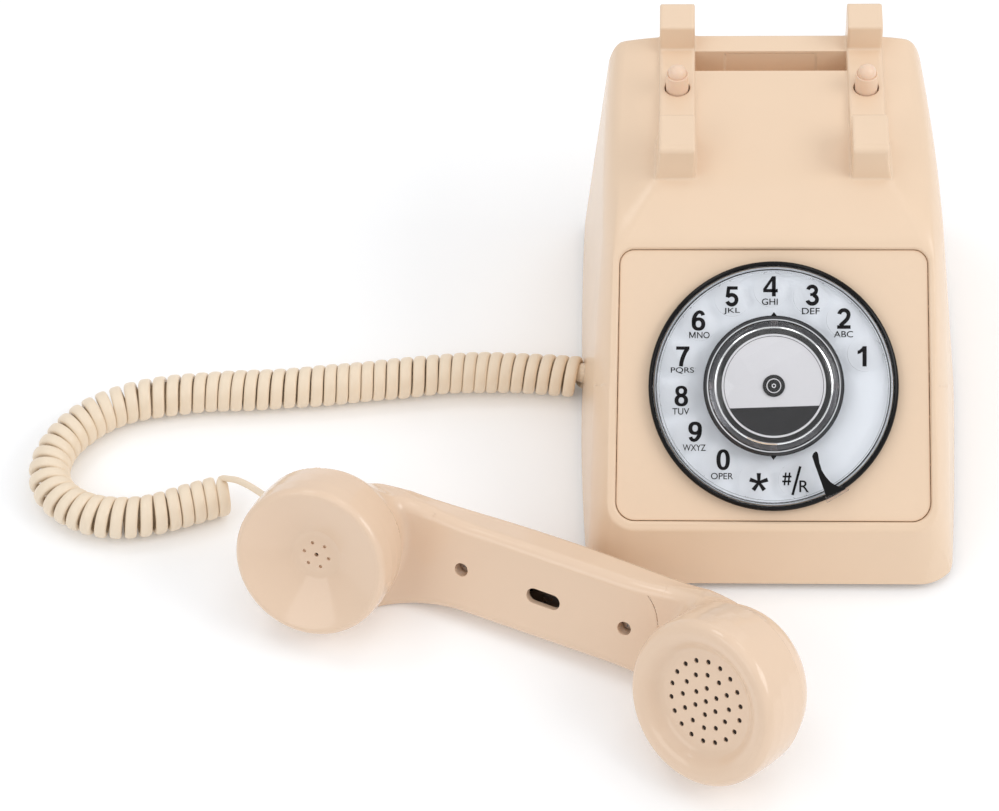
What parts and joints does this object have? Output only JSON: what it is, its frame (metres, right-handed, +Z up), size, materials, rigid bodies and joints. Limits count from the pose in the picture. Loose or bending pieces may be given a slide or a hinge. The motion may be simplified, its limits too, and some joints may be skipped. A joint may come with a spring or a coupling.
{
  "type": "rotary dial telephone",
  "caption": "Rotary-dial desk telephone with its handset lying beside it on a curly cord, a two-bar pronged cradle with hook plungers and a sloping dial face.",
  "frame": {"origin": "middle of the four rubber feet, on the surface the telephone stands on", "axes": "+X to the right seen from the dial side, +Y from the dial towards the rear wall with the line jack, +Z up"},
  "size_m": [0.3551, 0.2903, 0.1221],
  "materials": {
    "housing": "satin moulded plastic, warm beige",
    "clear_plastic": "clear polished plastic",
    "black_plastic": "semi-gloss black",
    "plate_white": "white printed plastic",
    "card": "plain printed card",
    "plunger": "pale moulded plastic",
    "grey_plastic": "matte",
    "rubber": "matte",
    "steel": "zinc plated",
    "brass": "turned",
    "board_green": "circuit board",
    "transducer": "dark",
    "cord": "smooth satin cord jacket"
  },
  "bodies": {
    "root": {"upper_shell": "housing", "base_pan": "grey_plastic", "rubber_feet": "rubber", "pan_screws": "steel", "faceplate": "housing", "dial_bezel": "black_plastic", "number_plate": "plate_white", "dial_bush": "brass", "dial_frame": "grey_plastic", "dial_screws": "steel", "return_spring": "steel", "pulse_sensor": "black_plastic", "finger_stop": "black_plastic", "hook_pin": "steel", "hook_bracket": "steel", "bracket_screws": "steel", "hook_spring": "steel", "hook_switch": "black_plastic", "main_board": "board_green", "board_screws": "steel", "ringer_speaker": "grey_plastic", "line_jack": "black_plastic", "coiled_cord": "cord", "base_cord_gland": "housing", "cord_lead": "cord"},
    "dial": {"finger_wheel": "clear_plastic", "dial_hub": "black_plastic", "dial_card": "card", "card_cap": "clear_plastic", "dial_shaft": "steel", "hub_screw": "steel", "pulse_disc": "grey_plastic"},
    "plunger_left": {"plunger_left": "plunger"},
    "plunger_right": {"plunger_right": "plunger"},
    "hook_lever": {"hook_lever": "grey_plastic"},
    "handset": {"handset_shell": "housing", "handset_cord_gland": "housing", "handset_cover": "housing", "handset_screws": "steel", "handset_weight": "steel", "mouthpiece_cap": "housing", "earpiece_cap": "housing", "microphone": "transducer", "receiver": "transducer", "cord_tail": "cord"}
  },
  "joints": [
    {"name": "dial_spin", "type": "hinge", "parent": "root", "child": "dial", "pos_m": [0, -0.04643, 0.06027], "axis": [0, -0.6347, 0.7727], "range_deg": [-330, 0], "stiffness_Nm_per_rad": 0.006, "springref_deg": 20.05},
    {"name": "hook_press", "type": "slide", "parent": "root", "child": "plunger_right", "axis": [0, 0, -1], "range_m": [0, 0.009], "stiffness_N_per_m": 60, "springref_m": -0.004},
    {"name": "hook_press_left", "type": "slide", "parent": "root", "child": "plunger_left", "axis": [0, 0, -1], "range_m": [0, 0.009], "stiffness_N_per_m": 60, "springref_m": -0.004},
    {"name": "hook_lever_turn", "type": "hinge", "parent": "root", "child": "hook_lever", "pos_m": [0, 0.024, 0.086], "axis": [-1, 0, 0], "range_deg": [0, 14.5], "stiffness_Nm_per_rad": 0.05, "springref_deg": -5.73},
    {"name": "handset_lift", "type": "slide", "parent": "root", "child": "handset", "axis": [0, 0, 1], "range_m": [0, 0.12]}
  ],
  "couplings": [
    {"joint": "hook_press_left", "follows": "hook_press", "ratio": 1},
    {"joint": "hook_lever_turn", "follows": "hook_press", "rad_per_m": 27.7}
  ]
}
